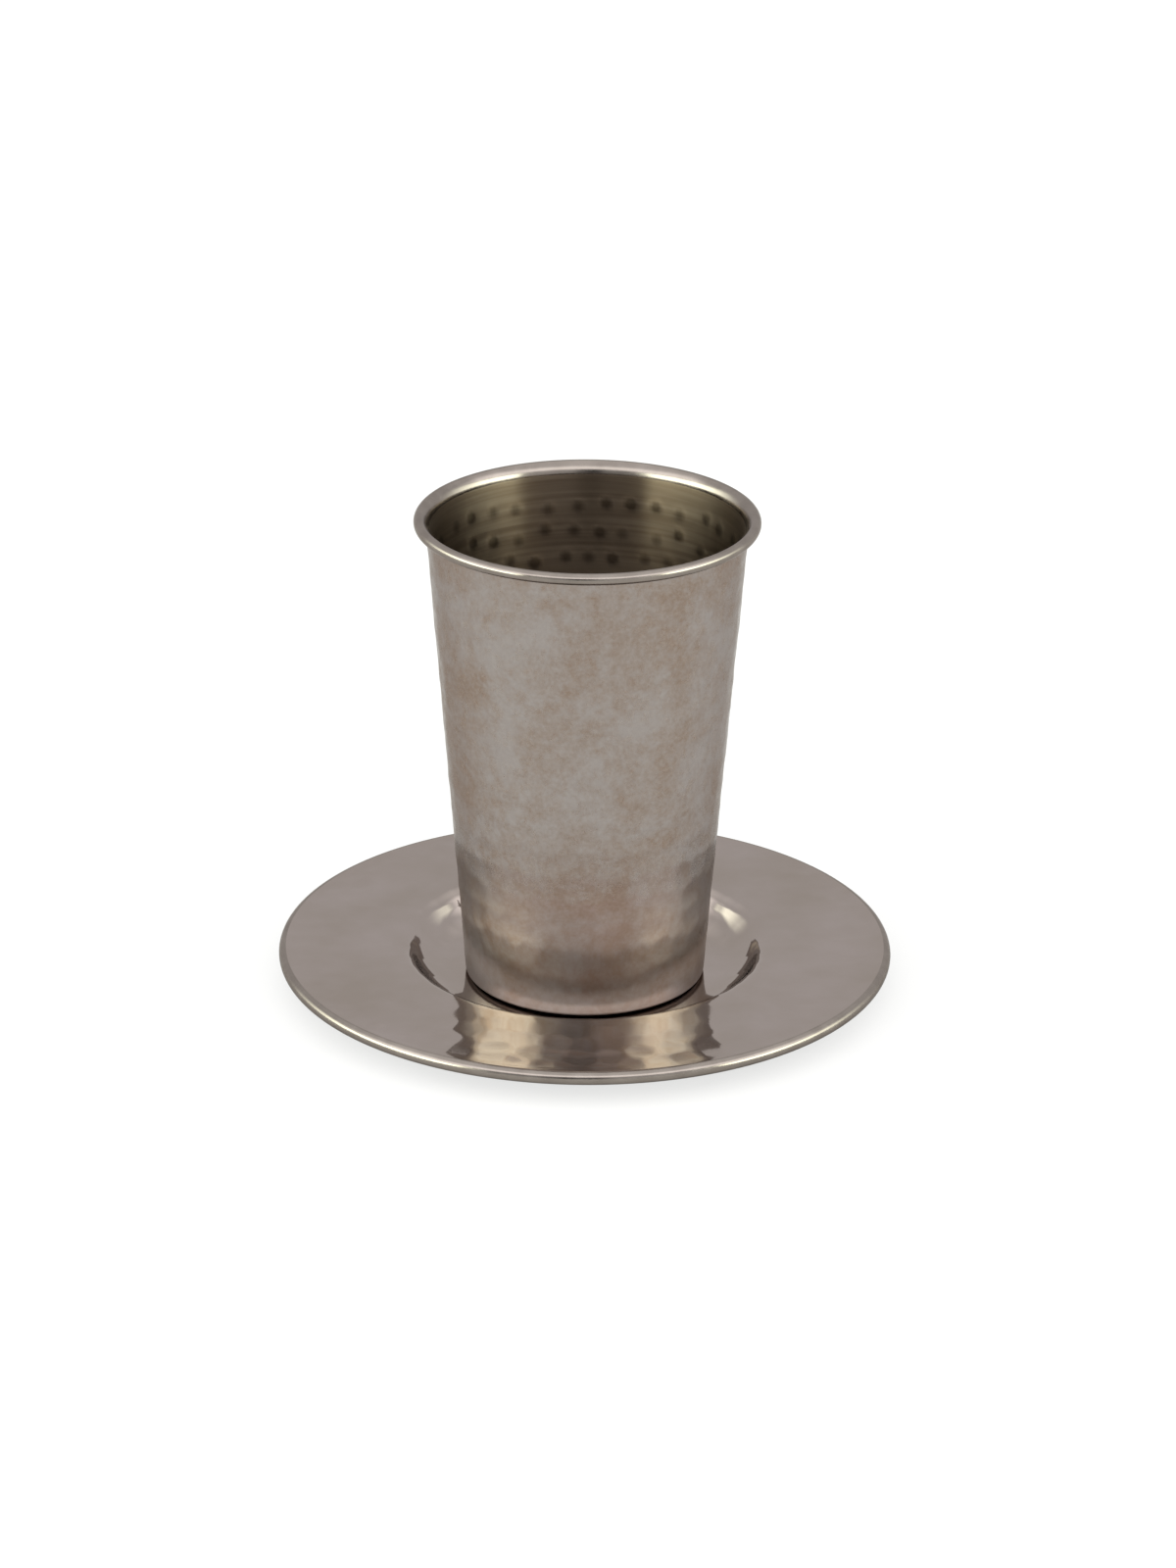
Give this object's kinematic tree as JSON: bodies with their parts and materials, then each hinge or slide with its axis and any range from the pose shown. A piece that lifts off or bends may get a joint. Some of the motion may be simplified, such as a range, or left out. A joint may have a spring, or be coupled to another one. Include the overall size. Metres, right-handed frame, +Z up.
{
  "type": "plate with tumbler",
  "caption": "Round hammered-steel plate with a central well and a rolled edge, and the matching tapered tumbler that stands in the well and lifts off.",
  "frame": {"origin": "middle of the plate's flat underside, on the surface that the plate stands on", "axes": "+Z up, along the common axis of the plate and the tumbler; X and Y are level, and -Y is the side seen from the front"},
  "size_m": [0.14, 0.14, 0.1113],
  "materials": {
    "polished_steel": "planished and mirror-polished stainless steel, faint hammer marks on the flange",
    "hammered_steel": "hammered outside with a light brown-grey patina, turned and brushed inside"
  },
  "bodies": {
    "plate": {"plate": "polished_steel"},
    "cup": {"cup": "hammered_steel"}
  },
  "joints": [
    {"name": "cup_lift", "type": "slide", "parent": "plate", "child": "cup", "axis": [0, 0, 1], "range_m": [0, 0.06]}
  ]
}
